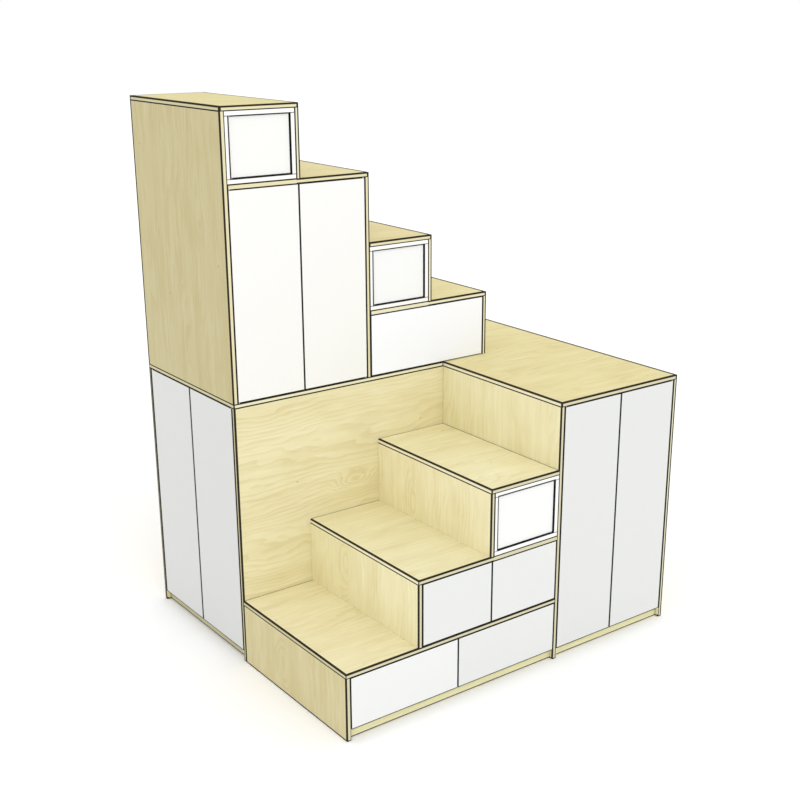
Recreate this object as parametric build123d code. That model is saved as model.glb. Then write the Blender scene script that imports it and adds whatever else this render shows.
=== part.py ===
from build123d import *
import os

# A plywood storage stair that turns back on itself: three steps up to a landing, then four more steps
# over a rear cabinet, with drawers and cupboards under every tread.
# Millimetres, +Z up. While it is drawn, X runs right from the left face, Y back from the front face and
# Z up from the floor; each piece is then moved so that the origin is the middle of the footprint.

# Stair
riser = 250.0             # height of every step
flight_width = 668.0      # front to back, the same for both flights
step1_going = 295.5       # left face to the side of step 2
step2_going = 311.5       # side of step 2 to the side of step 3
step3_going = 311.5       # side of step 3 to the landing
landing_length = 587.0    # left to right
step5_going = 269.0       # right face of step 6 to the right face of step 5
step6_going = 281.5       # right face of step 7 to the right face of step 6
step7_going = 281.5       # right face of step 8 to the right face of step 7
step8_going = 297.5       # left face to the right face of step 8

# Boards
board = 16.0              # plywood of the carcass
front_board = 16.0        # white fronts
liner_board = 16.0        # white boxes that line three of the steps
back_board = 6.0          # back panels
toe_height = 40.0         # floor to the underside of the lowest boards

# Fronts
front_gap = 3.0           # round each front and between neighbours
front_rest = 2.0          # closed front to the board edges behind it
liner_recess = 6.0        # doors of the white boxes, back from the edges of their box

# Shelves
shelf_setback = 22.0      # closed front to a shelf's front edge
shelves_per_cupboard = 2

# Drawers, on wooden runners that the grooves in their sides ride on
drawer_length = 550.0
drawer_travel = 450.0
drawer_board = 15.0
drawer_bottom = 6.0
drawer_side_gap = 2.0
drawer_clear_below = 10.0
drawer_clear_above = 25.0
runner_rise = 60.0        # drawer's lower edge to its runners
runner_height = 18.0
runner_depth = 9.5        # out from the board that it is fixed to
runner_end_play = 0.5     # runner face to the bottom of the groove
runner_play = 0.6         # under the runner, with the groove's roof resting on it
stop_width = 40.0         # stop block, which hangs into the drawer and meets its back
stop_depth = 16.0
stop_drop = 8.0           # drawer's upper edge to the foot of the stop
stop_play = 0.5           # open drawer to its stop

# Pivot hinges, let into the top and bottom edges of each door and into the boards above and below
leaf_length = 40.0
leaf_width = 12.0
leaf_thickness = 2.5
leaf_edge = 0.5           # door's face and edge to the leaf
pin_radius = 2.5
pin_inset = 4.0           # door's face and edge to the pin's axis
pin_play = 0.05           # round the pin
pin_end_play = 0.2
collar_radius = 3.4
collar_play = 0.3         # over the door, which stands on its lower collar
bracket_gap = 1.5         # under the base doors
bracket_leg = 28.0
bracket_reach = 5.0       # tongue past the pin's axis
bracket_thickness = 2.5

# Push catches, at the free upper corner of each door and behind each drawer
catch_length = 40.0
catch_depth = 15.0
catch_height = 14.0
catch_inset = 8.0         # free edge to the catch
catch_gap = 0.3           # strike plate or drawer's back to the head of the catch
head_side = 8.0           # square head
head_reach = 3.0          # out from the body of the catch
head_foot = 1.0           # underside of the catch to the head
strike_thickness = 1.5
strike_drop = 1.0         # door's top edge to the plate

# Lines of the plan
step2_x = step1_going
step3_x = step2_x + step2_going
landing_x = step3_x + step3_going
right_x = landing_x + landing_length
step8_x = step8_going
step7_x = step8_x + step7_going
step6_x = step7_x + step6_going
step5_x = step6_x + step5_going
rear_y = flight_width
back_y = 2 * flight_width
behind_front = front_board + front_rest

# Levels: the top of each tread, and the undersides of the boards that carry them
tread = [step * riser for step in range(9)]
under = [top - board for top in tread]
landing_level = tread[4]
landing_under = under[4]
floor_top = toe_height + board

origin = Pos(-right_x / 2, -back_y / 2, 0)


def slab(x0, x1, y0, y1, z0, z1):
    return Pos((x0 + x1) / 2, (y0 + y1) / 2, (z0 + z1) / 2) * Box(x1 - x0, y1 - y0, z1 - z0)


def save(name, solids):
    placed = [origin * solid for solid in solids]
    whole = placed[0] if len(placed) == 1 else Compound(children=placed)
    whole.label = name
    export_step(whole, f"parts/{name}.step")


class Face:
    """An upright face with fronts in it: u runs along it, v goes in from it and z goes up."""

    def __init__(self, looks_left, plane):
        self.looks_left = looks_left
        self.plane = plane

    def slab(self, u0, u1, v0, v1, z0, z1):
        u0, u1 = sorted((u0, u1))
        v0, v1 = self.plane + v0, self.plane + v1
        if self.looks_left:
            return slab(v0, v1, u0, u1, z0, z1)
        return slab(u0, u1, v0, v1, z0, z1)

    def rod(self, u, v, z0, z1, radius):
        v = self.plane + v
        x, y = (v, u) if self.looks_left else (u, v)
        return Pos(x, y, (z0 + z1) / 2) * Cylinder(radius, z1 - z0)


lower_front = Face(False, 0)
upper_front = Face(False, rear_y)
left_face = Face(True, 0)

# Carcass boards, by name. Doors cut the seats of their hinges into them further down.
boards = {
    "step1_left_side": slab(0, board, 0, rear_y, 0, under[1]),
    "step1_tread": slab(0, landing_x, 0, rear_y, under[1], tread[1]),
    "step2_left_side": slab(step2_x, step2_x + board, 0, rear_y, tread[1], under[2]),
    "step2_tread": slab(step2_x, landing_x, 0, rear_y, under[2], tread[2]),
    "step3_left_side": slab(step3_x, step3_x + board, 0, rear_y, tread[2], under[3]),
    "step3_tread": slab(step3_x, landing_x, 0, rear_y, under[3], tread[3]),
    "rear_cabinet_front_side": slab(0, landing_x, rear_y, rear_y + board, 0, landing_under),
    "rear_cabinet_back_side": slab(0, landing_x, back_y - board, back_y, 0, landing_under),
    "rear_cabinet_top": slab(0, landing_x, rear_y, back_y, landing_under, landing_level),
    "landing_left_side": slab(landing_x, landing_x + board, 0, back_y, 0, landing_under),
    "landing_right_side": slab(right_x - board, right_x, 0, back_y, 0, landing_under),
    "landing_top": slab(landing_x, right_x, 0, back_y, landing_under, landing_level),
    "landing_partition": slab(
        landing_x + board, right_x - board, rear_y, rear_y + board, floor_top, landing_under
    ),
    "upper_left_side": slab(0, board, rear_y, back_y, landing_level, under[8]),
    "step5_tread": slab(step7_x, step5_x, rear_y, back_y, under[5], tread[5]),
    "step5_right_side": slab(step5_x - board, step5_x, rear_y, back_y, landing_level, under[5]),
    "step6_tread": slab(step7_x, step6_x, rear_y, back_y, under[6], tread[6]),
    "step6_right_side": slab(step6_x - board, step6_x, rear_y, back_y, tread[5], under[6]),
    "step7_tread": slab(board, step7_x, rear_y, back_y, under[7], tread[7]),
    "step7_right_side": slab(step7_x - board, step7_x, rear_y, back_y, landing_level, under[7]),
    "step8_tread": slab(0, step8_x, rear_y, back_y, under[8], tread[8]),
    "step8_right_side": slab(step8_x - board, step8_x, rear_y, back_y, tread[7], under[8]),
}

# Floors of the three units that stand on the ground, with a plinth under the front and back of each
base_floors = [
    slab(board, landing_x, behind_front, rear_y, toe_height, floor_top),
    slab(behind_front, landing_x, rear_y + board, back_y - board, toe_height, floor_top),
    slab(landing_x + board, right_x - board, behind_front, back_y - back_board, toe_height, floor_top),
]
plinths = [
    slab(board, landing_x, behind_front, behind_front + board, 0, toe_height),
    slab(board, landing_x, rear_y - board, rear_y, 0, toe_height),
    slab(behind_front, behind_front + board, rear_y + board, back_y - board, 0, toe_height),
    slab(landing_x - board, landing_x, rear_y + board, back_y - board, 0, toe_height),
    slab(landing_x + board, right_x - board, behind_front, behind_front + board, 0, toe_height),
    slab(
        landing_x + board, right_x - board, back_y - back_board - board, back_y - back_board, 0, toe_height
    ),
]

# Uprights between the paired drawers
step1_middle = (board + landing_x) / 2
step2_middle = (step2_x + board + landing_x) / 2
drawer_dividers = [
    slab(
        step1_middle - board / 2, step1_middle + board / 2, behind_front, rear_y, floor_top, under[1]
    ),
    slab(
        step2_middle - board / 2, step2_middle + board / 2, behind_front, rear_y, tread[1], under[2]
    ),
]


def cupboard_shelves(face, u0, u1, depth, z0, z1):
    """Evenly spaced shelves between z0 and z1, from behind the doors to the back of the cupboard."""
    space = (z1 - z0 - shelves_per_cupboard * board) / (shelves_per_cupboard + 1)
    bottoms = [z0 + (i + 1) * space + i * board for i in range(shelves_per_cupboard)]
    front = front_board + shelf_setback
    return [face.slab(u0, u1, front, depth, z, z + board) for z in bottoms]


shelves = [
    *cupboard_shelves(
        lower_front, landing_x + board, right_x - board, rear_y, floor_top, landing_under
    ),
    *cupboard_shelves(
        left_face, rear_y + board, back_y - board, landing_x, floor_top, landing_under
    ),
    *cupboard_shelves(
        upper_front, board, step7_x - board, flight_width - back_board, landing_level, under[7]
    ),
]

# Back panels, let in flush between the boards round them
back_panels = [
    slab(x0, x1, back_y - back_board, back_y, z0, z1)
    for x0, x1, z0, z1 in (
        (landing_x + board, right_x - board, 0, landing_under),
        (step7_x, step5_x - board, landing_level, under[5]),
        (step7_x, step6_x - board, tread[5], under[6]),
        (board, step7_x - board, landing_level, under[7]),
        (board, step8_x - board, tread[7], under[8]),
    )
]


def line_step(step, face, u0, u1, depth):
    """The four boards of a white box that fills the space under a tread, kept with the other boards."""
    z0, z1 = tread[step - 1], under[step]
    boards[f"step{step}_liner_top"] = face.slab(u0, u1, 0, depth, z1 - liner_board, z1)
    boards[f"step{step}_liner_bottom"] = face.slab(u0, u1, 0, depth, z0, z0 + liner_board)
    for side, u in (("left", u0), ("right", u1 - liner_board)):
        boards[f"step{step}_liner_{side}"] = face.slab(
            u, u + liner_board, 0, depth, z0 + liner_board, z1 - liner_board
        )


line_step(3, lower_front, step3_x + board, landing_x, flight_width)
line_step(6, upper_front, step7_x, step6_x - board, flight_width - back_board)
line_step(8, upper_front, board, step8_x - board, flight_width - back_board)

fronts = {}
fixed_leaves = []
brackets = []
catches = []
runners = []
stops = []


def hinge_leaf(face, hinge_u, way, front, z0):
    """The flat plate of a pivot hinge, lying along a door's edge from the corner that it turns on."""
    start = hinge_u + way * leaf_edge
    return face.slab(
        start, start + way * leaf_length, front + leaf_edge, front + leaf_edge + leaf_width,
        z0, z0 + leaf_thickness,
    )


def push_catch(face, middle, v, z0, z1):
    """A push catch that hangs from a board at z1, with the tip of its head at v."""
    body_v = v + head_reach
    head_z = z0 + head_foot
    catches.append(
        face.slab(
            middle - catch_length / 2, middle + catch_length / 2, body_v, body_v + catch_depth, z0, z1
        )
        + face.slab(
            middle - head_side / 2, middle + head_side / 2, v, body_v, head_z, head_z + head_side
        )
    )


def hang_door(name, face, hinge_u, free_u, z0, z1, above, below=None, front=0.0):
    """A door between two boards, or over a toe space on a bracket, with its hinges and catch."""
    way = 1 if free_u > hinge_u else -1
    pin = (hinge_u + way * pin_inset, front + pin_inset)
    door = face.slab(hinge_u, free_u, front, front + front_board, z0, z1)

    # Door leaves, flush in its top and bottom edges, bored for the pins
    bore = face.rod(*pin, z0, z1, pin_radius + pin_play)
    door_leaves = [
        hinge_leaf(face, hinge_u, way, front, z0),
        hinge_leaf(face, hinge_u, way, front, z1 - leaf_thickness),
    ]
    for leaf in door_leaves:
        door -= leaf
    pin_length = leaf_thickness - pin_end_play

    # Upper fixed leaf, flush in the board above, with its pin reaching down
    ceiling = z1 + front_gap
    seat = hinge_leaf(face, hinge_u, way, front, ceiling)
    boards[above] -= seat
    fixed_leaves.append(
        seat
        + face.rod(*pin, z1 + collar_play, ceiling, collar_radius)
        + face.rod(*pin, z1 - pin_length, z1 + collar_play, pin_radius)
    )

    # Lower pivot, which carries the door: a leaf in the board below, or a bracket on the side panel
    if below:
        floor = z0 - front_gap
        seat = hinge_leaf(face, hinge_u, way, front, floor - leaf_thickness)
        boards[below] -= seat
        fixed_leaves.append(
            seat
            + face.rod(*pin, floor, z0, collar_radius)
            + face.rod(*pin, z0, z0 + pin_length, pin_radius)
        )
    else:
        panel_u = hinge_u - way * front_gap
        top = z0 - bracket_gap
        tongue_end = pin[0] + way * bracket_reach
        v0, v1 = front + leaf_edge, front + leaf_edge + leaf_width
        brackets.append(
            face.slab(panel_u, tongue_end, v0, v1, top - bracket_thickness, top)
            + face.slab(panel_u, panel_u + way * bracket_thickness, v0, v1, top - bracket_leg, top)
            + face.rod(*pin, top, z0, collar_radius)
            + face.rod(*pin, z0, z0 + pin_length, pin_radius)
        )

    # Catch under the board above, and the strike plate that it holds
    catch_u = free_u - way * catch_inset
    inside = front + front_board
    strike_z = z1 - strike_drop
    strike = face.slab(
        catch_u, catch_u - way * catch_length, inside, inside + strike_thickness,
        ceiling - catch_height, strike_z,
    )
    push_catch(
        face, catch_u - way * catch_length / 2, inside + strike_thickness + catch_gap,
        ceiling - catch_height, ceiling,
    )
    fronts[name] = [door]
    fronts[f"{name}_fittings"] = [leaf - bore for leaf in door_leaves] + [strike]


def make_drawer(name, face, u0, u1, z0, z1, front_u0, front_u1, front_z0, front_z1):
    """A drawer that runs between two boards at u0 and u1, over a floor at z0 and under a board at z1."""
    left, right = u0 + drawer_side_gap, u1 - drawer_side_gap
    bottom, top = z0 + drawer_clear_below, z1 - drawer_clear_above
    near, far = front_board, front_board + drawer_length
    runner_z = bottom + runner_rise
    groove_depth = runner_depth - drawer_side_gap + runner_end_play

    sides = []
    for outer, way in ((left, 1), (right, -1)):
        side = face.slab(outer, outer + way * drawer_board, near, far, bottom, top)
        groove = face.slab(
            outer, outer + way * groove_depth, near, far,
            runner_z - runner_play, runner_z + runner_height,
        )
        sides.append(side - groove)
        panel = outer - way * drawer_side_gap
        runners.append(
            face.slab(
                panel, panel + way * runner_depth, behind_front, far,
                runner_z, runner_z + runner_height,
            )
        )
    middle = (left + right) / 2
    stop_v = far - drawer_board - drawer_travel - stop_play
    stops.append(
        face.slab(
            middle - stop_width / 2, middle + stop_width / 2, stop_v - stop_depth, stop_v,
            top - stop_drop, z1,
        )
    )
    push_catch(face, middle, far + catch_gap, top - catch_height, z1)

    inner_left, inner_right = left + drawer_board, right - drawer_board
    ends = [
        face.slab(inner_left, inner_right, near, near + drawer_board, bottom, top),
        face.slab(inner_left, inner_right, far - drawer_board, far, bottom, top),
    ]
    panel = face.slab(
        inner_left, inner_right, near + drawer_board, far - drawer_board,
        bottom, bottom + drawer_bottom,
    )
    fronts[f"{name}_front"] = [face.slab(front_u0, front_u1, 0, front_board, front_z0, front_z1)]
    fronts[f"{name}_box"] = [*sides, *ends, panel]


def drawer_pair(step, u0, u1, z0, z1, front_z0):
    """Two drawers side by side, whose fronts meet over the upright between them."""
    middle = (u0 + u1) / 2
    front_z1 = z1 - front_gap
    make_drawer(
        f"step{step}_left_drawer", lower_front, u0, middle - board / 2, z0, z1,
        u0 + front_gap, middle - front_gap / 2, front_z0, front_z1,
    )
    make_drawer(
        f"step{step}_right_drawer", lower_front, middle + board / 2, u1, z0, z1,
        middle + front_gap / 2, u1 - front_gap, front_z0, front_z1,
    )


def door_pair(names, face, u0, u1, z0, z1, above, below=None):
    """Two doors that meet in the middle of an opening and turn on its sides."""
    middle = (u0 + u1) / 2
    hang_door(names[0], face, u0 + front_gap, middle - front_gap / 2, z0, z1, above, below)
    hang_door(names[1], face, u1 - front_gap, middle + front_gap / 2, z0, z1, above, below)


def liner_door(step, face, hinge_u, free_u):
    """A door inside the white box under a tread, between the boards of that box."""
    way = 1 if free_u > hinge_u else -1
    reach = way * (liner_board + front_gap)
    hang_door(
        f"step{step}_door", face, hinge_u + reach, free_u - reach,
        tread[step - 1] + liner_board + front_gap, under[step] - liner_board - front_gap,
        f"step{step}_liner_top", f"step{step}_liner_bottom", liner_recess,
    )


drawer_pair(1, board, landing_x, floor_top, under[1], toe_height)
drawer_pair(2, step2_x + board, landing_x, tread[1], under[2], tread[1] + front_gap)
make_drawer(
    "step5_drawer", upper_front, step7_x, step5_x - board, landing_level, under[5],
    step7_x + front_gap, step5_x - board - front_gap, landing_level + front_gap, under[5] - front_gap,
)
liner_door(3, lower_front, landing_x, step3_x + board)
liner_door(6, upper_front, step7_x, step6_x - board)
liner_door(8, upper_front, board, step8_x - board)
door_pair(
    ("landing_left_door", "landing_right_door"), lower_front, landing_x + board, right_x - board,
    toe_height, landing_under - front_gap, "landing_top",
)
door_pair(
    ("rear_cabinet_near_door", "rear_cabinet_far_door"), left_face, rear_y + board, back_y - board,
    toe_height, landing_under - front_gap, "rear_cabinet_top",
)
door_pair(
    ("upper_left_door", "upper_right_door"), upper_front, board, step7_x - board,
    landing_level + front_gap, under[7] - front_gap, "step7_tread", "rear_cabinet_top",
)

liners = [name for name in boards if "_liner_" in name]
nodes = {
    **{name: [solid] for name, solid in boards.items() if name not in liners},
    "white_liners": [boards[name] for name in liners],
    "base_floors": base_floors,
    "plinths": plinths,
    "drawer_dividers": drawer_dividers,
    "shelves": shelves,
    "back_panels": back_panels,
    "drawer_runners_and_stops": [*runners, *stops],
    "fixed_hinge_leaves": fixed_leaves,
    "toe_pivot_brackets": brackets,
    "push_catches": catches,
    **fronts,
}

os.makedirs("parts", exist_ok=True)
for name, solids in nodes.items():
    save(name, solids)
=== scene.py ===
import math
import random

import bpy
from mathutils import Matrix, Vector


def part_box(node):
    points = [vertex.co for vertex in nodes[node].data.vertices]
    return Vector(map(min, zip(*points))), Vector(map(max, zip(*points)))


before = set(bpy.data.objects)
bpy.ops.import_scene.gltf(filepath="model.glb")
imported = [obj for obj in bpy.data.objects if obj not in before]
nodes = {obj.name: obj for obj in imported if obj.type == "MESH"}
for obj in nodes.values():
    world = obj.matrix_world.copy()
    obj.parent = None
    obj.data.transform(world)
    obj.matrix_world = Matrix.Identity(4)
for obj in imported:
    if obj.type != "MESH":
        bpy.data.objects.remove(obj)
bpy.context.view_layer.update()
scene = bpy.context.scene

mm = 0.001
imageSide = 800  # pixels, both ways
noiseSpan = {"From Min": 0.3, "From Max": 0.7}  # most values of a noise lie between these
squareOn = 0.7   # a face is square to an axis where its normal is longer than this along it
farAway = 50.0   # metres, well past every board


def linear(hexColour):
    channels = [int(hexColour[i:i + 2], 16) / 255 for i in (1, 3, 5)]
    return (*[c / 12.92 if c <= 0.04045 else ((c + 0.055) / 1.055) ** 2.4 for c in channels], 1.0)


def addNode(tree, kind, inputs=None, **settings):
    node = tree.nodes.new("ShaderNode" + kind)
    for name, value in settings.items():
        setattr(node, name, value)
    for socket, value in (inputs or {}).items():
        if isinstance(value, bpy.types.NodeSocket):
            tree.links.new(value, node.inputs[socket])
        else:
            node.inputs[socket].default_value = value
    return node


def newMaterial(name):
    material = bpy.data.materials.new(name)
    material.use_nodes = True
    material.node_tree.nodes.clear()
    return material, material.node_tree


def closeMaterial(tree, shader):
    addNode(tree, "OutputMaterial", {"Surface": shader.outputs["BSDF"]})


def most(tree, values):
    greatest = values[0]
    for value in values[1:]:
        greatest = addNode(tree, "Math", {0: greatest, 1: value}, operation="MAXIMUM").outputs[0]
    return greatest


print("camera")
camera = {
    "place": (-2.7120, -3.6585, 2.2939),
    "azimuth": 37.079,        # degrees right of straight ahead
    "elevation": 18.716,      # degrees down
    "focalPixels": 1245.7,
    "axisPixel": (420, 431),  # where the lens looks in the image
    "sensorWidth": 36.0,
}


def makeCamera():
    data = bpy.data.cameras.new("camera")
    data.sensor_width = camera["sensorWidth"]
    data.lens = camera["focalPixels"] / imageSide * camera["sensorWidth"]
    data.shift_x = (imageSide / 2 - camera["axisPixel"][0]) / imageSide
    data.shift_y = (camera["axisPixel"][1] - imageSide / 2) / imageSide
    eye = bpy.data.objects.new("camera", data)
    eye.location = camera["place"]
    eye.rotation_euler = (
        math.radians(90 - camera["elevation"]), 0, math.radians(-camera["azimuth"])
    )
    scene.collection.objects.link(eye)
    scene.camera = eye


makeCamera()

print("light and floor")
studio = {
    "skyColour": "#ffffff",
    "skyStrength": 1.0,
    "lampDirection": (-0.20, -0.74, 0.64),  # from the object towards the lamp
    "lampStrength": 0.75,
    "lampSpread": 50,         # degrees
    "floorColour": "#fdfdfd",
    "floorRoughness": 0.9,
    "floorSpecular": 0.1,
    "floorReach": 30.0,       # metres
}


def makeStudio():
    world = bpy.data.worlds.new("studio")
    world.use_nodes = True
    background = world.node_tree.nodes["Background"]
    background.inputs["Color"].default_value = linear(studio["skyColour"])
    background.inputs["Strength"].default_value = studio["skyStrength"]
    scene.world = world

    lamp = bpy.data.lights.new("softLamp", "SUN")
    lamp.energy = studio["lampStrength"]
    lamp.angle = math.radians(studio["lampSpread"])
    lampObject = bpy.data.objects.new("softLamp", lamp)
    lampObject.rotation_euler = Vector(studio["lampDirection"]).to_track_quat("Z", "Y").to_euler()
    scene.collection.objects.link(lampObject)

    reach = studio["floorReach"]
    mesh = bpy.data.meshes.new("floor")
    corners = [(-reach, -reach, 0), (reach, -reach, 0), (reach, reach, 0), (-reach, reach, 0)]
    mesh.from_pydata(corners, [], [(0, 1, 2, 3)])
    floor = bpy.data.objects.new("floor", mesh)
    scene.collection.objects.link(floor)
    material, tree = newMaterial("paleFloor")
    shader = addNode(tree, "BsdfPrincipled", {
        "Base Color": linear(studio["floorColour"]), "Roughness": studio["floorRoughness"],
        "Specular IOR Level": studio["floorSpecular"],
    })
    closeMaterial(tree, shader)
    mesh.materials.append(material)


makeStudio()
scene.view_settings.view_transform = "Standard"

# Rotary-cut maple veneer on plywood, sanded and sealed with matt oil: pale cream, with a faint flowing
# figure that closes into ovals here and there, soft patches, fine fibres and now and then a pin knot.
# Every edge has a solid maple lipping, and the arrises are eased and stained dark.
print("wood")
maple = {
    "light": "#e1d7ac",
    "dark": "#d3c593",
    "pale": "#e9e0be",            # of the streaks between the rings
    "arris": "#0f0b06",
    "knot": "#8a7248",
    "ringSpacing": 27 * mm,
    "ringShades": ((0.35, 0.1), (0.72, 0.8), (0.86, 1.0)),  # across a ring, up to its late wood
    "swellRings": 9.0,            # how far the swell moves the rings, counted in rings
    "swellLength": 520 * mm,
    "swellWidth": 150 * mm,
    "eyeRings": 6.0,              # an eye is where a swell of the trunk was cut through
    "eyeLength": 230 * mm,
    "eyeWidth": 85 * mm,
    "rippleRings": 1.3,
    "rippleLength": 95 * mm,
    "rippleWidth": 30 * mm,
    "figure": 0.42,               # how much the rings darken the face, from light at 0 to dark at 1
    "faded": 0.2,                 # the share of the figure that shows where it is faintest
    "streakTones": (-0.02, 0.42),  # on the same scale as figure
    "streakLength": 1500 * mm,
    "streakWidth": 55 * mm,
    "mottleTones": (-0.2, 0.2),
    "mottleLength": 170 * mm,
    "mottleWidth": 75 * mm,
    "fibreTones": (-0.05, 0.12),
    "fibreLength": 70 * mm,
    "fibreWidth": 3 * mm,         # real ones are near 0.3 mm, too fine to show
    "paleShow": 0.38,
    "knotSpacing": 380 * mm,
    "knotSize": 2.6 * mm,
    "knotShow": 0.7,
    "lippingFibreLength": 111 * mm,
    "lippingFibreWidth": 2.4 * mm,  # drawn coarser than real too
    "lippingShades": (1.06, 0.92),
    "edgeStain": 3.8 * mm,        # from an arris, on the boards' edges and on their faces
    "faceStain": 5.0 * mm,
    "footStain": 4.0 * mm,        # above the floor, where the boards' feet are sealed
    "narrowing": 1.8 * mm,        # of the stain on a tread's front arris, below a lining
    "stainFade": 0.5 * mm,
    "stainShow": 0.97,
    "easing": 0.8 * mm,
    "onEasing": 0.985,            # a normal that is nowhere longer than this is on an eased arris
    "roughness": (0.44, 0.58),
    "stainRoughness": 0.4,        # added where the stain has raised the grain
    "relief": 0.12,
    "fibreHeight": 0.2 * mm,
    "ior": 1.48,
    "specular": 0.12,
}


def grainNoise(tree, along, across, depth, length, width, detail, seed):
    # A noise drawn out along the grain. The seed moves it, so that no two of them agree.
    x = addNode(tree, "Math", {0: along, 1: 1 / length}, operation="MULTIPLY").outputs[0]
    y = addNode(tree, "Math", {0: across, 1: 1 / width}, operation="MULTIPLY").outputs[0]
    z = addNode(
        tree, "Math", {0: depth, 1: 1 / width, 2: seed}, operation="MULTIPLY_ADD"
    ).outputs[0]
    place = addNode(tree, "CombineXYZ", {"X": x, "Y": y, "Z": z}).outputs[0]
    return addNode(tree, "TexNoise", {
        "Vector": place, "Scale": 1.0, "Detail": detail, "Roughness": 0.5,
    }).outputs["Fac"]


def arrisDistance(tree, place, narrowing=None):
    # How far a point on a board's surface is from the nearest arris of its box. It lies 0 in from one
    # side, so the middle one of its three distances is the one to an arris.
    low = addNode(tree, "Attribute", attribute_type="OBJECT", attribute_name="boardLow")
    high = addNode(tree, "Attribute", attribute_type="OBJECT", attribute_name="boardHigh")
    fromLow = addNode(tree, "VectorMath", {0: place, 1: low.outputs["Vector"]}, operation="SUBTRACT")
    fromHigh = addNode(tree, "VectorMath", {0: high.outputs["Vector"], 1: place}, operation="SUBTRACT")
    nearest = addNode(
        tree, "VectorMath", {0: fromLow.outputs[0], 1: fromHigh.outputs[0]}, operation="MINIMUM"
    )
    x, y, z = addNode(tree, "SeparateXYZ", {0: nearest.outputs[0]}).outputs
    if narrowing:
        z = addNode(tree, "Math", {0: z, 1: narrowing}, operation="ADD").outputs[0]
    lesser = addNode(tree, "Math", {0: x, 1: y}, operation="MINIMUM").outputs[0]
    greater = addNode(tree, "Math", {0: x, 1: y}, operation="MAXIMUM").outputs[0]
    other = addNode(tree, "Math", {0: greater, 1: z}, operation="MINIMUM").outputs[0]
    return addNode(tree, "Math", {0: lesser, 1: other}, operation="MAXIMUM").outputs[0]


def eyeDistance(tree, wood, place, grainAxis, thinAxis):
    # 0 in the middle of the board's eye and 1 at its rim
    eye = addNode(tree, "Attribute", attribute_type="OBJECT", attribute_name="grainEye")
    fromEye = addNode(tree, "VectorMath", {0: place, 1: eye.outputs["Vector"]}, operation="SUBTRACT")
    scale = [1 / wood["eyeWidth"]] * 3
    scale[grainAxis], scale[thinAxis] = 1 / wood["eyeLength"], 0
    fromEye = addNode(tree, "VectorMath", {0: fromEye.outputs[0], 1: scale}, operation="MULTIPLY")
    return addNode(tree, "VectorMath", {0: fromEye.outputs[0]}, operation="LENGTH").outputs["Value"]


def ringFigure(tree, wood, grain, nearEye):
    # Slow rings, drawn together and bent by a swell until some close into ovals
    swell = grainNoise(tree, *grain, wood["swellLength"], wood["swellWidth"], detail=0.6, seed=0.0)
    ripple = grainNoise(tree, *grain, wood["rippleLength"], wood["rippleWidth"], detail=1.5, seed=5.0)
    rings = addNode(
        tree, "Math", {0: grain[1], 1: 1 / wood["ringSpacing"]}, operation="MULTIPLY"
    ).outputs[0]
    for noise, reach in ((swell, wood["swellRings"]), (ripple, wood["rippleRings"])):
        rings = addNode(
            tree, "Math", {0: noise, 1: reach, 2: rings}, operation="MULTIPLY_ADD"
        ).outputs[0]
    eyeRings = addNode(tree, "MapRange", {
        "Value": nearEye, "From Min": 0.0, "From Max": 1.0, "To Min": wood["eyeRings"], "To Max": 0.0,
    }, interpolation_type="SMOOTHSTEP").outputs[0]
    rings = addNode(tree, "Math", {0: rings, 1: eyeRings}, operation="ADD").outputs[0]
    phase = addNode(tree, "Math", {0: rings}, operation="FRACT").outputs[0]
    lateWood = addNode(tree, "ValToRGB", {"Fac": phase})
    ramp = lateWood.color_ramp
    ramp.interpolation = "EASE"
    ramp.elements[0].color = (0, 0, 0, 1)
    ramp.elements[1].color = (0, 0, 0, 1)
    for position, shade in wood["ringShades"]:
        ramp.elements.new(position).color = (shade, shade, shade, 1)

    # The figure comes and goes, and is strongest round an eye
    fading = grainNoise(
        tree, *grain, wood["swellLength"] / 2, wood["swellWidth"] / 2, detail=1.0, seed=21.0
    )
    fading = addNode(tree, "MapRange", {
        "Value": fading, "From Min": 0.36, "From Max": 0.62, "To Min": wood["faded"], "To Max": 1.0,
    }).outputs[0]
    eyeShow = addNode(tree, "MapRange", {
        "Value": nearEye, "From Min": 0.7, "From Max": 1.1, "To Min": 1.1, "To Max": 0.0,
    }).outputs[0]
    return addNode(tree, "Math", {
        0: lateWood.outputs["Color"], 1: most(tree, [fading, eyeShow]),
    }, operation="MULTIPLY").outputs[0]


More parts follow.
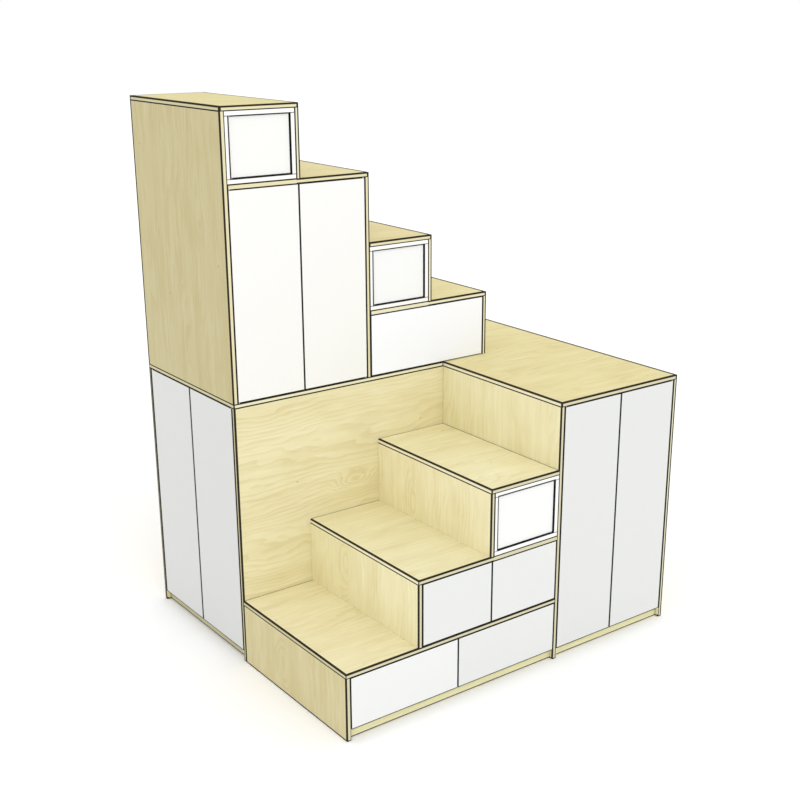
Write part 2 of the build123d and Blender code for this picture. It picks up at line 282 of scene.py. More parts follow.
def faceColour(tree, wood, grain, figure, fibre):
    # Broad streaks of tone, soft patches and fibres, over the figure
    streak = grainNoise(tree, *grain, wood["streakLength"], wood["streakWidth"], detail=3.0, seed=9.0)
    mottle = grainNoise(tree, *grain, wood["mottleLength"], wood["mottleWidth"], detail=2.5, seed=33.0)
    streakPart, mottlePart, fibrePart = (
        addNode(tree, "MapRange", {
            "Value": noise, **noiseSpan, "To Min": tones[0], "To Max": tones[1],
        }, clamp=clamp).outputs[0]
        for noise, tones, clamp in (
            (streak, wood["streakTones"], True),
            (mottle, wood["mottleTones"], False),
            (fibre, wood["fibreTones"], True),
        )
    )
    darkness = addNode(
        tree, "Math", {0: figure, 1: wood["figure"], 2: streakPart}, operation="MULTIPLY_ADD"
    ).outputs[0]
    darkness = addNode(tree, "Math", {0: darkness, 1: mottlePart}, operation="ADD").outputs[0]
    darkness = addNode(
        tree, "Math", {0: darkness, 1: fibrePart}, operation="ADD", use_clamp=True
    ).outputs[0]
    face = addNode(tree, "Mix", {
        "Factor": darkness, 6: linear(wood["light"]), 7: linear(wood["dark"]),
    }, data_type="RGBA").outputs[2]
    paleStreak = grainNoise(
        tree, *grain, wood["swellLength"] / 3, wood["rippleWidth"] / 2, detail=2.0, seed=40.0
    )
    palePart = addNode(tree, "MapRange", {
        "Value": paleStreak, "From Min": 0.54, "From Max": 0.72,
        "To Min": 0.0, "To Max": wood["paleShow"],
    }).outputs[0]
    return addNode(tree, "Mix", {
        "Factor": palePart, 6: face, 7: linear(wood["pale"]),
    }, data_type="RGBA").outputs[2]


def addKnots(tree, wood, grain, face):
    # Pin knots, far apart, and farther along the grain than across it
    along = addNode(tree, "Math", {0: grain[0], 1: 0.5}, operation="MULTIPLY").outputs[0]
    knotPlace = addNode(tree, "CombineXYZ", {"X": along, "Y": grain[1]}).outputs[0]
    knot = addNode(tree, "TexVoronoi", {
        "Vector": knotPlace, "Scale": 1 / wood["knotSpacing"],
    }, voronoi_dimensions="2D").outputs["Distance"]
    knotSize = wood["knotSize"] / wood["knotSpacing"]
    knotPart = addNode(tree, "MapRange", {
        "Value": knot, "From Min": 0.4 * knotSize, "From Max": knotSize,
        "To Min": wood["knotShow"], "To Max": 0.0,
    }).outputs[0]
    return addNode(tree, "Mix", {
        "Factor": knotPart, 6: face, 7: linear(wood["knot"]),
    }, data_type="RGBA").outputs[2]


def lippingColour(tree, wood, grain, facing):
    # Solid maple, with a fine straight grain that runs along each edge. Front and side edges take
    # separate colours, painted light and shade.
    front = addNode(tree, "Attribute", attribute_type="OBJECT", attribute_name="frontLipping")
    side = addNode(tree, "Attribute", attribute_type="OBJECT", attribute_name="sideLipping")
    facesSide = addNode(tree, "Math", {0: facing[0], 1: squareOn}, operation="GREATER_THAN").outputs[0]
    edge = addNode(tree, "Mix", {
        "Factor": facesSide, 6: front.outputs["Color"], 7: side.outputs["Color"],
    }, data_type="RGBA").outputs[2]
    sizes = (wood["lippingFibreLength"], wood["lippingFibreLength"], wood["lippingFibreWidth"])
    x, y, z = (
        addNode(tree, "Math", {0: value, 1: 1 / size}, operation="MULTIPLY").outputs[0]
        for value, size in zip(grain, sizes)
    )
    fibrePlace = addNode(tree, "CombineXYZ", {"X": x, "Y": y, "Z": z}).outputs[0]
    fibre = addNode(tree, "TexNoise", {
        "Vector": fibrePlace, "Scale": 1.0, "Detail": 2.0, "Roughness": 0.5,
    }).outputs["Fac"]
    shade = addNode(tree, "MapRange", {
        "Value": fibre, **noiseSpan,
        "To Min": wood["lippingShades"][0], "To Max": wood["lippingShades"][1],
    }).outputs[0]
    return addNode(tree, "VectorMath", {0: edge, "Scale": shade}, operation="SCALE").outputs[0]


def arrisStain(tree, wood, place, facing, onEdge):
    # By the board's own box, or by the slope of the easing where boards share a node
    stainWidth = addNode(tree, "MapRange", {
        "Value": onEdge, "To Min": wood["faceStain"], "To Max": wood["edgeStain"],
    }).outputs[0]
    stretch = addNode(tree, "Attribute", attribute_type="OBJECT", attribute_name="standing")
    start, end, _ = addNode(tree, "SeparateXYZ", {0: stretch.outputs["Vector"]}).outputs
    x, _, z = addNode(tree, "SeparateXYZ", {0: place}).outputs
    afterStart = addNode(tree, "Math", {0: x, 1: start}, operation="GREATER_THAN").outputs[0]
    beforeEnd = addNode(tree, "Math", {0: x, 1: end}, operation="LESS_THAN").outputs[0]
    under = addNode(tree, "Math", {0: afterStart, 1: beforeEnd}, operation="MULTIPLY").outputs[0]
    narrowing = addNode(
        tree, "Math", {0: under, 1: wood["narrowing"]}, operation="MULTIPLY"
    ).outputs[0]
    fromArris = addNode(
        tree, "Math", {0: arrisDistance(tree, place, narrowing), 1: stainWidth}, operation="SUBTRACT"
    ).outputs[0]
    byBox = addNode(tree, "MapRange", {
        "Value": fromArris, "From Min": 0.0, "From Max": wood["stainFade"],
        "To Min": wood["stainShow"], "To Max": 0.0,
    }, interpolation_type="SMOOTHSTEP").outputs[0]
    onEasing = addNode(
        tree, "Math", {0: most(tree, list(facing)), 1: wood["onEasing"]}, operation="LESS_THAN"
    ).outputs[0]
    easingStain = addNode(tree, "Attribute", attribute_type="OBJECT", attribute_name="easingStain")
    byEasing = addNode(
        tree, "Math", {0: onEasing, 1: easingStain.outputs["Fac"]}, operation="MULTIPLY"
    ).outputs[0]
    onFoot = addNode(tree, "Math", {0: z, 1: wood["footStain"]}, operation="LESS_THAN").outputs[0]
    atFoot = addNode(tree, "Math", {0: onFoot, 1: wood["stainShow"]}, operation="MULTIPLY").outputs[0]
    return most(tree, [byBox, byEasing, atFoot])


def makeWood(name, wood, grainAxis, thinAxis):
    material, tree = newMaterial(name)
    coordinates = addNode(tree, "TexCoord")
    place = coordinates.outputs["Object"]
    shift = addNode(tree, "Attribute", attribute_type="OBJECT", attribute_name="grainShift")
    shifted = addNode(tree, "VectorMath", {0: place, 1: shift.outputs["Vector"]}, operation="ADD")
    xyz = addNode(tree, "SeparateXYZ", {0: shifted.outputs[0]}).outputs
    crossAxis = ({0, 1, 2} - {grainAxis, thinAxis}).pop()
    grain = (xyz[grainAxis], xyz[crossAxis], xyz[thinAxis])
    normals = addNode(tree, "VectorMath", {0: coordinates.outputs["Normal"]}, operation="ABSOLUTE")
    facing = addNode(tree, "SeparateXYZ", {0: normals.outputs[0]}).outputs
    onEdge = addNode(
        tree, "Math", {0: facing[thinAxis], 1: squareOn}, operation="LESS_THAN"
    ).outputs[0]

    fibre = grainNoise(tree, *grain, wood["fibreLength"], wood["fibreWidth"], detail=2.0, seed=13.0)
    figure = ringFigure(tree, wood, grain, eyeDistance(tree, wood, place, grainAxis, thinAxis))
    face = addKnots(tree, wood, grain, faceColour(tree, wood, grain, figure, fibre))
    # Painted light and shade: the board's tint from its table, with a small random tone of the veneer
    tint = addNode(tree, "Attribute", attribute_type="OBJECT", attribute_name="boardTint")
    paintedShadeFace = addNode(
        tree, "VectorMath", {0: face, 1: tint.outputs["Vector"]}, operation="MULTIPLY"
    ).outputs[0]
    colour = addNode(tree, "Mix", {
        "Factor": onEdge, 6: paintedShadeFace, 7: lippingColour(tree, wood, grain, facing),
    }, data_type="RGBA").outputs[2]
    stain = arrisStain(tree, wood, place, facing, onEdge)
    stained = addNode(
        tree, "Mix", {"Factor": stain, 6: colour, 7: linear(wood["arris"])}, data_type="RGBA"
    ).outputs[2]
    roughness = addNode(tree, "MapRange", {
        "Value": fibre, "To Min": wood["roughness"][0], "To Max": wood["roughness"][1],
    }).outputs[0]
    roughness = addNode(tree, "Math", {
        0: stain, 1: wood["stainRoughness"], 2: roughness,
    }, operation="MULTIPLY_ADD", use_clamp=True).outputs[0]
    bump = addNode(tree, "Bump", {
        "Height": fibre, "Strength": wood["relief"], "Distance": wood["fibreHeight"],
    })
    shader = addNode(tree, "BsdfPrincipled", {
        "Base Color": stained, "Roughness": roughness, "Normal": bump.outputs[0],
        "IOR": wood["ior"], "Specular IOR Level": wood["specular"],
    })
    closeMaterial(tree, shader)
    return material


woods = {
    "uprightGrain": makeWood("mapleVeneerUpright", maple, 2, 0),
    "treadGrain": makeWood("mapleVeneerTread", {**maple, "faceStain": 7.5 * mm}, 0, 2),
    "panelGrain": makeWood("mapleVeneerPanel", {
        **maple, "figure": 0.60, "faded": 0.55, "mottleTones": (-0.15, 0.15),
        "ringSpacing": 23 * mm, "rippleWidth": 24 * mm,
        "eyeLength": 135 * mm, "eyeWidth": 68 * mm, "eyeRings": 4.5,
    }, 0, 1),
    "backGrain": makeWood("mapleVeneerBack", maple, 2, 1),
}

# Each board's grain, and by how many millimetres the stain is narrower along each of its sides, or
# wider where the number is below 0. Sides that butt against a neighbour are plain.
plain = 100000  # more than any board's size, so that no stain is left
closed = {"+z": 3, "-z": plain}
farCorner = {"+x": 5, "+y": 5, "-z": 1.7}
carcass = {
    "step1_left_side": ("uprightGrain", {"+z": 3, "-y": -1.5, "+x": 1.6}),
    "step2_left_side": ("uprightGrain", {**closed, "+y": plain, "-y": -1.5, "+x": 0.5}),
    "step3_left_side": ("uprightGrain", {**closed, "+y": plain, "-y": -1.5, "+x": -0.8}),
    "landing_left_side": ("uprightGrain", {"+z": 3, "-y": -1.5, "-x": 0.8}),
    "landing_right_side": ("uprightGrain", {"+z": 3, "+x": -2.7}),
    "upper_left_side": ("uprightGrain", {**closed, "-y": -1.5, "+y": -3.5, "+x": 2.0}),
    "step5_right_side": ("uprightGrain", {**closed, "+x": -2.3}),
    "step6_right_side": ("uprightGrain", {**closed, "+x": -1.5}),
    "step7_right_side": ("uprightGrain", {**closed, "+x": -0.8, "-x": 1.2}),
    "step8_right_side": ("uprightGrain", {**closed, "+x": -1.5}),
    "rear_cabinet_front_side": ("panelGrain", {"+z": 3, "+x": 4.4, "-x": -1, "-y": -1, "+y": -1}),
    "rear_cabinet_back_side": ("panelGrain", {"+z": 3, "-y": -3, "+y": -3}),
    "landing_partition": ("backGrain", {"+z": plain, "-z": plain, "+x": plain, "-x": plain}),
    "step1_tread": ("treadGrain", {**farCorner, "-x": 1.8, "-y": 1.5, "+z": -1.0}),
    "step2_tread": ("treadGrain", {**farCorner, "-x": 1.4, "-y": 1.2, "+z": -0.8}),
    "step3_tread": ("treadGrain", {**farCorner, "+z": -0.4}),
    "landing_top": ("treadGrain", {"-z": 1.7, "+z": -0.4, "-x": -1.5, "-y": -1.5, "+x": -4}),
    "rear_cabinet_top": ("treadGrain", {"-z": 1.2}),
    "step5_tread": ("treadGrain", {"-z": 1.7, "+z": -1.0, "-y": -3, "+x": -4, "+y": -4}),
    "step6_tread": ("treadGrain", {"-z": 1.7, "+z": -1.2, "-y": -3, "+x": -4, "+y": -4}),
    "step7_tread": ("treadGrain", {"-z": 1.7, "+z": -1.3, "-y": -3, "+x": -4, "+y": -4}),
    "step8_tread": ("treadGrain", {"-z": 1.7, "+z": -1.4, "-x": -3, "-y": -3, "+x": -4, "+y": -4}),
}
inner = {
    "drawer_dividers": "uprightGrain", "base_floors": "treadGrain", "shelves": "treadGrain",
    "plinths": "treadGrain",
}
innerStain = 0.94  # on their eased arrises
paintedShadeTints = {  # painted light and shade: each board made lighter or darker, warmer or cooler, for how light falls on it; the outer left sides darker, the boards in the stair's corner and the plinths lighter against their shade
    "upper_left_side": (0.76, 0.75, 0.70),
    "step1_left_side": (0.86, 0.86, 0.83),
    "rear_cabinet_front_side": (1.02, 1.05, 1.11),
    "step1_tread": (1.08, 1.11, 1.19),
    "step2_tread": (1.08, 1.11, 1.19),
    "step3_tread": (1.11, 1.14, 1.22),
    "step2_left_side": (1.14, 1.18, 1.26),
    "step3_left_side": (1.16, 1.21, 1.32),
    "landing_left_side": (1.15, 1.20, 1.31),
    "landing_top": (1.00, 0.98, 0.85),
    "step5_tread": (1.02, 1.02, 0.90),
    "step6_tread": (0.97, 0.96, 0.84),
    "step7_tread": (0.99, 0.98, 0.87),
    "step8_tread": (0.94, 0.94, 0.74),
    "plinths": (1.15, 1.15, 1.15),
}
# Painted light and shade: the lippings' colours, lighter or darker by board and by which way an edge
# faces, for how light falls on it
paintedLightLippings = {
    "cream": "#cdc7a8", "straw": "#dbd3ad", "pale": "#dfdbbc", "ivory": "#ede6c8", "tan": "#c9c29c",
    "butter": "#e5dfb0",
}
commonPaintedLightLippings = ("cream", "tan")  # on the front edge and on the side edge
boardPaintedLightLippings = {
    "step2_tread": ("cream", "ivory"),
    "step3_tread": ("cream", "ivory"),
    "landing_top": ("cream", "ivory"),
    "step5_tread": ("pale", "ivory"),
    "step6_tread": ("straw", "ivory"),
    "step7_tread": ("straw", "ivory"),
    "step8_tread": ("straw", "tan"),
    "rear_cabinet_top": ("pale", "tan"),
    "upper_left_side": ("straw", "tan"),
    "step5_right_side": ("ivory", "tan"),
    "step6_right_side": ("ivory", "tan"),
    "step7_right_side": ("straw", "tan"),
    "step8_right_side": ("pale", "tan"),
    "landing_right_side": ("pale", "tan"),
    "plinths": ("butter", "tan"),
}
standing = {  # from where to where along x, in metres, a lining stands on the tread's front edge
    "step2_tread": (-0.130, 0.166), "step5_tread": (-0.174, 0.092), "step7_tread": (-0.737, -0.471),
}
grainEyes = {  # metres
    "rear_cabinet_front_side": (-0.255, 0.0, 0.600),
    "step1_left_side": (-0.753, -0.280, 0.105),
    "step2_left_side": (-0.457, -0.249, 0.396),
    "step3_left_side": (-0.146, -0.232, 0.554),
}


def dress(name, material):
    for slot in nodes[name].material_slots:
        slot.material = material


def easeEdges(board, width):
    weld = board.modifiers.new("weld", "WELD")
    weld.merge_threshold = 0.01 * mm
    bevel = board.modifiers.new("easedEdges", "BEVEL")
    bevel.width = width
    bevel.segments = 2
    bevel.limit_method = "ANGLE"
    bevel.angle_limit = math.radians(40)
    bevel.harden_normals = True


def setBox(name, butted):
    low, high = (list(corner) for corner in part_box(name))
    for axis in range(3):
        low[axis] -= butted.get("-" + "xyz"[axis], 0) * mm
        high[axis] += butted.get("+" + "xyz"[axis], 0) * mm
    nodes[name]["boardLow"] = low
    nodes[name]["boardHigh"] = high


def dressBoard(name, material, butted, easingStain=0.0):
    board = nodes[name]
    dice = random.Random(name)
    setBox(name, butted)
    board["easingStain"] = easingStain
    board["grainShift"] = [dice.uniform(0, 40) for _ in range(3)]
    board["grainEye"] = grainEyes.get(name, (farAway, farAway, farAway))
    # painted light and shade: the front and side lippings' colours for this board
    front, side = boardPaintedLightLippings.get(name, commonPaintedLightLippings)
    board["frontLipping"] = linear(paintedLightLippings[front])[:3]
    board["sideLipping"] = linear(paintedLightLippings[side])[:3]
    board["standing"] = [*standing.get(name, (farAway, farAway)), 0.0]
    # painted light and shade from the table, times a small random tone of the veneer
    board["boardTint"] = [shade * dice.uniform(0.985, 1.0) for shade in paintedShadeTints.get(name, (1, 1, 1))]
    dress(name, material)
    easeEdges(board, maple["easing"])


for name, (grain, butted) in carcass.items():
    dressBoard(name, woods[grain], butted)
allPlain = {sign + axis: plain for sign in "+-" for axis in "xyz"}
for name, grain in inner.items():
    dressBoard(name, woods[grain], allPlain, innerStain)

# Birch plywood, sanded and varnished: drawer boxes and back panels. The faces are cream with a quiet
# grain, and the cut edges show the plies as fine stripes.
print("drawer boxes, backs and runners")
birch = {
    "light": "#e4dab5",
    "dark": "#d3c69a",
    "plyLight": "#d9c197",
    "plyDark": "#a98659",
    "ply": 1.5 * mm,
    "drawerBoard": 15 * mm,
    "rim": 2 * mm,                # from a box's top or bottom, where its plies show
    "grainLength": 420 * mm,
    "grainWidth": 26 * mm,
    "fibreLength": 60 * mm,
    "fibreWidth": 3 * mm,         # real ones are near 0.3 mm, too fine to show
    "easing": 0.5 * mm,
    "roughness": (0.46, 0.6),
    "relief": 0.12,
    "fibreHeight": 0.2 * mm,
    "ior": 1.48,
    "specular": 0.3,
}


def makeBirch():
    material, tree = newMaterial("birchPlywood")
    coordinates = addNode(tree, "TexCoord")
    place = coordinates.outputs["Object"]
    x, y, z = addNode(tree, "SeparateXYZ", {0: place}).outputs
    normals = addNode(tree, "VectorMath", {0: coordinates.outputs["Normal"]}, operation="ABSOLUTE")
    facing = addNode(tree, "SeparateXYZ", {0: normals.outputs[0]}).outputs
    facesX = addNode(tree, "Math", {0: facing[0], 1: squareOn}, operation="GREATER_THAN").outputs[0]
    facesZ = addNode(tree, "Math", {0: facing[2], 1: squareOn}, operation="GREATER_THAN").outputs[0]
    along = addNode(tree, "Mix", {"Factor": facesX, "A": x, "B": y}).outputs[0]
    across = addNode(tree, "Mix", {"Factor": facesZ, "A": z, "B": y}).outputs[0]
    grain = grainNoise(
        tree, along, across, z, birch["grainLength"], birch["grainWidth"], detail=3.0, seed=2.0
    )
    fibre = grainNoise(
        tree, along, across, z, birch["fibreLength"], birch["fibreWidth"], detail=2.0, seed=7.0
    )
    darkness = addNode(tree, "Math", {0: grain, 1: fibre}, operation="MULTIPLY").outputs[0]
    darkness = addNode(tree, "MapRange", {
        "Value": darkness, "From Min": 0.12, "From Max": 0.42,
    }).outputs[0]
    face = addNode(tree, "Mix", {
        "Factor": darkness, 6: linear(birch["light"]), 7: linear(birch["dark"]),
    }, data_type="RGBA").outputs[2]

    # Plies, counted in from the outside of the drawer box
    low = addNode(tree, "Attribute", attribute_type="OBJECT", attribute_name="boardLow")
    high = addNode(tree, "Attribute", attribute_type="OBJECT", attribute_name="boardHigh")
    fromLow = addNode(tree, "VectorMath", {0: place, 1: low.outputs["Vector"]}, operation="SUBTRACT")
    fromHigh = addNode(tree, "VectorMath", {0: high.outputs["Vector"], 1: place}, operation="SUBTRACT")
    inward = addNode(
        tree, "VectorMath", {0: fromLow.outputs[0], 1: fromHigh.outputs[0]}, operation="MINIMUM"
    )
    inX, inY, inZ = addNode(tree, "SeparateXYZ", {0: inward.outputs[0]}).outputs
    onSide = addNode(tree, "Math", {0: inX, 1: birch["drawerBoard"]}, operation="LESS_THAN").outputs[0]
    depth = addNode(tree, "Mix", {"Factor": onSide, "A": inY, "B": inX}).outputs[0]
    plies = addNode(tree, "Math", {0: depth, 1: 0.5 / birch["ply"]}, operation="MULTIPLY").outputs[0]
    plies = addNode(tree, "Math", {0: plies}, operation="FRACT").outputs[0]
    darkPly = addNode(tree, "Math", {0: plies, 1: 0.5}, operation="GREATER_THAN").outputs[0]
    edge = addNode(tree, "Mix", {
        "Factor": darkPly, 6: linear(birch["plyLight"]), 7: linear(birch["plyDark"]),
    }, data_type="RGBA").outputs[2]
    atRim = addNode(tree, "Math", {0: inZ, 1: birch["rim"]}, operation="LESS_THAN").outputs[0]
    showPlies = addNode(tree, "Math", {0: atRim, 1: facesZ}, operation="MULTIPLY").outputs[0]
    colour = addNode(
        tree, "Mix", {"Factor": showPlies, 6: face, 7: edge}, data_type="RGBA"
    ).outputs[2]
    roughness = addNode(tree, "MapRange", {
        "Value": fibre, "To Min": birch["roughness"][0], "To Max": birch["roughness"][1],
    }).outputs[0]
    bump = addNode(tree, "Bump", {
        "Height": fibre, "Strength": birch["relief"], "Distance": birch["fibreHeight"],
    })
    shader = addNode(tree, "BsdfPrincipled", {
        "Base Color": colour, "Roughness": roughness, "Normal": bump.outputs[0],
        "IOR": birch["ior"], "Specular IOR Level": birch["specular"],
    })
    closeMaterial(tree, shader)
    return material


# Planed beech, unfinished: warm tan, with the short dark flecks of its rays
beech = {
    "light": "#d8b48a",
    "dark": "#c49a6c",
    "fleck": "#9c6f45",
    "fleckLength": 5 * mm,
    "fleckWidth": 1.2 * mm,       # real ones are near 0.5 mm, too fine to show
    "fleckShow": 0.7,
    "streakLength": 300 * mm,
    "streakWidth": 8 * mm,
    "easing": 0.6 * mm,
    "roughness": 0.62,
    "relief": 0.15,
    "streakHeight": 0.2 * mm,
    "specular": 0.3,
}


def makeBeech():
    material, tree = newMaterial("planedBeech")
    place = addNode(tree, "TexCoord").outputs["Object"]
    x, y, z = addNode(tree, "SeparateXYZ", {0: place}).outputs
    streak = grainNoise(
        tree, y, z, x, beech["streakLength"], beech["streakWidth"], detail=2.0, seed=3.0
    )
    wood = addNode(tree, "Mix", {
        "Factor": streak, 6: linear(beech["light"]), 7: linear(beech["dark"]),
    }, data_type="RGBA").outputs[2]
    fleck = grainNoise(
        tree, y, z, x, beech["fleckLength"], beech["fleckWidth"], detail=0.0, seed=11.0
    )
    fleckPart = addNode(tree, "MapRange", {
        "Value": fleck, "From Min": 0.62, "From Max": 0.72, "To Min": 0.0, "To Max": beech["fleckShow"],
    }).outputs[0]
    colour = addNode(tree, "Mix", {
        "Factor": fleckPart, 6: wood, 7: linear(beech["fleck"]),
    }, data_type="RGBA").outputs[2]
    bump = addNode(tree, "Bump", {
        "Height": streak, "Strength": beech["relief"], "Distance": beech["streakHeight"],
    })
    shader = addNode(tree, "BsdfPrincipled", {
        "Base Color": colour, "Roughness": beech["roughness"], "Normal": bump.outputs[0],
        "Specular IOR Level": beech["specular"],
    })
    closeMaterial(tree, shader)
    return material


birchPlywood = makeBirch()
for name in nodes:
    if name.endswith("_drawer_box") or name == "back_panels":
        dress(name, birchPlywood)
        setBox(name, {})
        easeEdges(nodes[name], birch["easing"])
dress("drawer_runners_and_stops", makeBeech())
easeEdges(nodes["drawer_runners_and_stops"], beech["easing"])

# White satin laminate on both faces of black-dyed fibreboard, which shows on the cut edges and on
# their chamfer. It gives each front a thin black outline.
print("fronts")
laminate = {
    "white": "#e9e9e7",
    # painted light and shade: the whites and greys below are lit and shaded copies of the one white
    # laminate
    "coolWhite": "#eef0f6",
    "neutralWhite": "#eaebec",
    "paleGrey": "#dadbd9",
    "lightGrey": "#e1e2e0",
    "silverGrey": "#d6d7d5",
    "deepGrey": "#d2d3d1",
    "core": "#171716",
    "peelSize": 4 * mm,
    "peel": 0.05,
    "peelHeight": 0.1 * mm,
    "hazeSize": 400 * mm,
    "chamfer": 1.0 * mm,
    "onFace": 0.97,          # the white lies where the normal is longer than this through the board
    "coreLine": 1.4 * mm,    # from the front's edge, where the white is cut back to the core
    "footLine": -2.4,        # millimetres, as in the table of boards: more at the fronts' feet
    "footBelow": 50 * mm,
    "roughness": (0.33, 0.43),
    "ior": 1.5,
}


def makeLaminate(name, colour, thinAxis):
    material, tree = newMaterial(name)
    coordinates = addNode(tree, "TexCoord")
    place = coordinates.outputs["Object"]
    peel = addNode(tree, "TexNoise", {
        "Vector": place, "Scale": 1 / laminate["peelSize"], "Detail": 1.0,
    }).outputs["Fac"]
    haze = addNode(tree, "TexNoise", {
        "Vector": place, "Scale": 1 / laminate["hazeSize"], "Detail": 2.0,
    }).outputs["Fac"]
    normal = addNode(tree, "SeparateXYZ", {0: coordinates.outputs["Normal"]}).outputs[thinAxis]
    facing = addNode(tree, "Math", {0: normal}, operation="ABSOLUTE").outputs[0]
    onSide = addNode(
        tree, "Math", {0: facing, 1: laminate["onFace"]}, operation="LESS_THAN"
    ).outputs[0]
    onRim = addNode(
        tree, "Math", {0: arrisDistance(tree, place), 1: laminate["coreLine"]}, operation="LESS_THAN"
    ).outputs[0]
    colours = addNode(tree, "Mix", {
        "Factor": most(tree, [onSide, onRim]), 6: linear(colour), 7: linear(laminate["core"]),
    }, data_type="RGBA").outputs[2]
    roughness = addNode(tree, "MapRange", {
        "Value": haze, "To Min": laminate["roughness"][0], "To Max": laminate["roughness"][1],
    }).outputs[0]
    bump = addNode(tree, "Bump", {
        "Height": peel, "Strength": laminate["peel"], "Distance": laminate["peelHeight"],
    })
    shader = addNode(tree, "BsdfPrincipled", {
        "Base Color": colours, "Roughness": roughness, "Normal": bump.outputs[0],
        "IOR": laminate["ior"],
    })
    closeMaterial(tree, shader)
    return material


rims = {  # by how many millimetres the core shows narrower than coreLine, or wider below 0
    "step6_door": {"+z": 1.4},
    "step8_door": {"+z": 1.4},
    "step1_left_drawer_front": {"+x": -0.8},
    "step1_right_drawer_front": {"-x": -0.8},
    "step2_left_drawer_front": {"+x": -1.0},
    "step2_right_drawer_front": {"-x": -1.0},
    "landing_left_door": {"+x": -1.4},
    "landing_right_door": {"-x": -1.4, "+x": -1.2},
    "rear_cabinet_near_door": {"+y": -2.8, "-y": -1.5},
    "rear_cabinet_far_door": {"-y": -2.8, "+y": -2.2},
    "upper_left_door": {"+x": -0.7},
    "upper_right_door": {"-x": -0.7},
}
# Painted light and shade: every front is the same white laminate, given a brighter or greyer copy for
# how light falls on it
fronts = {
    ("white", 1): ["step3_door", "step8_door", "upper_left_door", "upper_right_door"],
    ("coolWhite", 1): ["step5_drawer_front"],
    ("neutralWhite", 1): ["step6_door"],
    ("lightGrey", 1): ["step1_left_drawer_front"],
    ("paleGrey", 1): [
        "step1_right_drawer_front", "step2_left_drawer_front", "step2_right_drawer_front",
    ],
    ("silverGrey", 1): ["landing_left_door", "landing_right_door"],
    ("deepGrey", 0): ["rear_cabinet_near_door", "rear_cabinet_far_door"],
}
for (shade, thinAxis), names in fronts.items():
    material = makeLaminate(f"{shade}Laminate{'XY'[thinAxis]}", laminate[shade], thinAxis)
    for name in names:
        dress(name, material)
        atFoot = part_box(name)[0].z < laminate["footBelow"]
        foot = {"-z": laminate["footLine"]} if atFoot else {}
        setBox(name, {**foot, **rims.get(name, {})})
        easeEdges(nodes[name], laminate["chamfer"])

# White lacquer sprayed on fibreboard: even and satin, with a faint orange peel. The reveal in front of
# each door is painted black, which loses the gap in a shadow line.
print("liners")
liner = {
    "white": "#efefed",
    "reveal": "#1b1b1a",
    "revealDepth": 12 * mm,
    "recess": 6 * mm,        # of the doors, back from the liners' edges
    "gap": 3 * mm,           # round the doors
    "board": 16 * mm,
    "outerLine": 1.5 * mm,   # painted black on the liners' outer arrises
    "joint": 1.2 * mm,       # half a joint's width, between the rails and the stiles
    "lines": {               # millimetres, painted on the front edges round each opening
        "step3_door": {"left": 5, "right": 1, "top": 4, "bottom": 1},
        "step6_door": {"left": 5, "right": 1, "top": 2, "bottom": 2},
        "step8_door": {"left": 4, "right": 1, "top": 1.5, "bottom": 2},
    },
    "easing": 1.0 * mm,
    "hazeSize": 400 * mm,
    "peelSize": 4 * mm,
    "peel": 0.05,
    "peelHeight": 0.1 * mm,
    "roughness": (0.29, 0.39),
    "ior": 1.5,
}


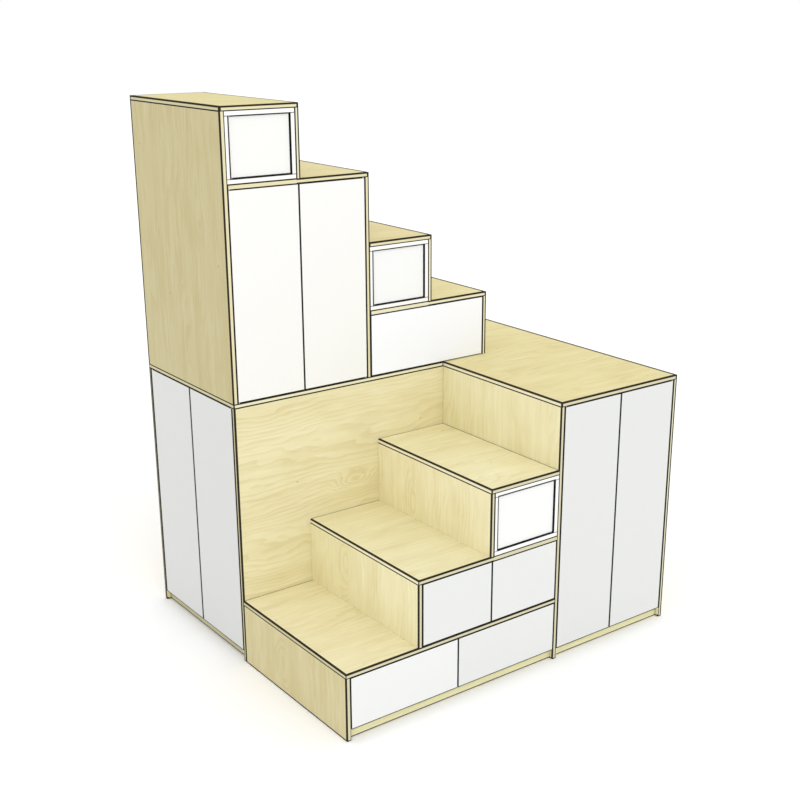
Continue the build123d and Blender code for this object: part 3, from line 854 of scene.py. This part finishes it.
def makeLiner():
    material, tree = newMaterial("whiteLacquer")
    place = addNode(tree, "TexCoord").outputs["Object"]
    haze = addNode(tree, "TexNoise", {
        "Vector": place, "Scale": 1 / liner["hazeSize"], "Detail": 2.0,
    }).outputs["Fac"]
    peel = addNode(tree, "TexNoise", {
        "Vector": place, "Scale": 1 / liner["peelSize"], "Detail": 1.0,
    }).outputs["Fac"]
    x, y, z = addNode(tree, "SeparateXYZ", {0: place}).outputs
    painted = []
    for door, lines in liner["lines"].items():
        low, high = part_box(door)
        front = low[1] - liner["recess"]
        left, right = low[0] - liner["gap"], high[0] + liner["gap"]
        bottom, top = low[2] - liner["gap"], high[2] + liner["gap"]
        beyond = [  # how far outside the opening, on each side
            addNode(tree, "Math", {0: first, 1: second}, operation="SUBTRACT").outputs[0]
            for first, second in ((left, x), (x, right), (bottom, z), (z, top))
        ]
        past = [  # the same, past the painted line
            addNode(tree, "Math", {0: value, 1: lines[side] * mm}, operation="SUBTRACT").outputs[0]
            for side, value in zip(("left", "right", "bottom", "top"), beyond)
        ]
        outside = most(tree, beyond)
        onLine = addNode(tree, "Math", {0: most(tree, past), 1: 0.0}, operation="LESS_THAN").outputs[0]
        onOuter = addNode(tree, "Math", {
            0: outside, 1: liner["board"] - liner["outerLine"],
        }, operation="GREATER_THAN").outputs[0]
        joints = [
            addNode(tree, "Math", {0: z, 1: level, 2: liner["joint"]}, operation="COMPARE").outputs[0]
            for level in (bottom, top)
        ]
        nearFront = addNode(tree, "Math", {  # half a reveal either way from its middle
            0: y, 1: front + liner["revealDepth"] / 2, 2: liner["revealDepth"] / 2 + 0.1 * mm,
        }, operation="COMPARE").outputs[0]
        nearBox = addNode(tree, "Math", {
            0: outside, 1: liner["board"] + 1 * mm,
        }, operation="LESS_THAN").outputs[0]
        here = addNode(tree, "Math", {0: nearFront, 1: nearBox}, operation="MULTIPLY").outputs[0]
        dark = most(tree, [onLine, onOuter, *joints])
        painted.append(addNode(tree, "Math", {0: dark, 1: here}, operation="MULTIPLY").outputs[0])
    colours = addNode(tree, "Mix", {
        "Factor": most(tree, painted), 6: linear(liner["white"]), 7: linear(liner["reveal"]),
    }, data_type="RGBA").outputs[2]
    roughness = addNode(tree, "MapRange", {
        "Value": haze, "To Min": liner["roughness"][0], "To Max": liner["roughness"][1],
    }).outputs[0]
    bump = addNode(tree, "Bump", {
        "Height": peel, "Strength": liner["peel"], "Distance": liner["peelHeight"],
    })
    shader = addNode(tree, "BsdfPrincipled", {
        "Base Color": colours, "Roughness": roughness, "Normal": bump.outputs[0],
        "IOR": liner["ior"],
    })
    closeMaterial(tree, shader)
    return material


dress("white_liners", makeLiner())
easeEdges(nodes["white_liners"], liner["easing"])

print("fittings")
# Powder-coated steel: cream, to be lost beside the plinths, with a faint orange peel
coatedSteel = {
    "colour": "#e6ddb2",
    "peelSize": 1.4 * mm,
    "peel": 0.15,
    "peelHeight": 0.1 * mm,
    "roughness": 0.45,
}


def makeCoatedSteel():
    material, tree = newMaterial("powderCoatedSteel")
    place = addNode(tree, "TexCoord").outputs["Object"]
    peel = addNode(tree, "TexNoise", {
        "Vector": place, "Scale": 1 / coatedSteel["peelSize"], "Detail": 1.0,
    }).outputs["Fac"]
    bump = addNode(tree, "Bump", {
        "Height": peel, "Strength": coatedSteel["peel"], "Distance": coatedSteel["peelHeight"],
    })
    shader = addNode(tree, "BsdfPrincipled", {
        "Base Color": linear(coatedSteel["colour"]), "Roughness": coatedSteel["roughness"],
        "Normal": bump.outputs[0],
    })
    closeMaterial(tree, shader)
    return material


# Zinc-plated steel, drawn and barrel-plated: dull silver with a fine mottle
platedSteel = {
    "colour": "#bfc1c4",
    "mottleSize": 2.5 * mm,
    "roughness": (0.28, 0.46),
}


def makePlatedSteel():
    material, tree = newMaterial("zincPlatedSteel")
    place = addNode(tree, "TexCoord").outputs["Object"]
    mottle = addNode(tree, "TexNoise", {
        "Vector": place, "Scale": 1 / platedSteel["mottleSize"], "Detail": 2.0,
    }).outputs["Fac"]
    roughness = addNode(tree, "MapRange", {
        "Value": mottle, "To Min": platedSteel["roughness"][0], "To Max": platedSteel["roughness"][1],
    }).outputs[0]
    shader = addNode(tree, "BsdfPrincipled", {
        "Base Color": linear(platedSteel["colour"]), "Metallic": 1.0, "Roughness": roughness,
    })
    closeMaterial(tree, shader)
    return material


# Moulded ABS: white, even, slightly textured by the mould
plastic = {
    "colour": "#e9e9e6",
    "textureSize": 0.67 * mm,
    "texture": 0.1,
    "textureHeight": 0.05 * mm,
    "roughness": 0.5,
}


def makePlastic():
    material, tree = newMaterial("whiteAbs")
    place = addNode(tree, "TexCoord").outputs["Object"]
    texture = addNode(tree, "TexNoise", {
        "Vector": place, "Scale": 1 / plastic["textureSize"],
    }).outputs["Fac"]
    bump = addNode(tree, "Bump", {
        "Height": texture, "Strength": plastic["texture"], "Distance": plastic["textureHeight"],
    })
    shader = addNode(tree, "BsdfPrincipled", {
        "Base Color": linear(plastic["colour"]), "Roughness": plastic["roughness"],
        "Normal": bump.outputs[0],
    })
    closeMaterial(tree, shader)
    return material


steel = makePlatedSteel()
for name in nodes:
    if name.endswith("_fittings") or name == "fixed_hinge_leaves":
        dress(name, steel)
dress("toe_pivot_brackets", makeCoatedSteel())
dress("push_catches", makePlastic())

print("done")
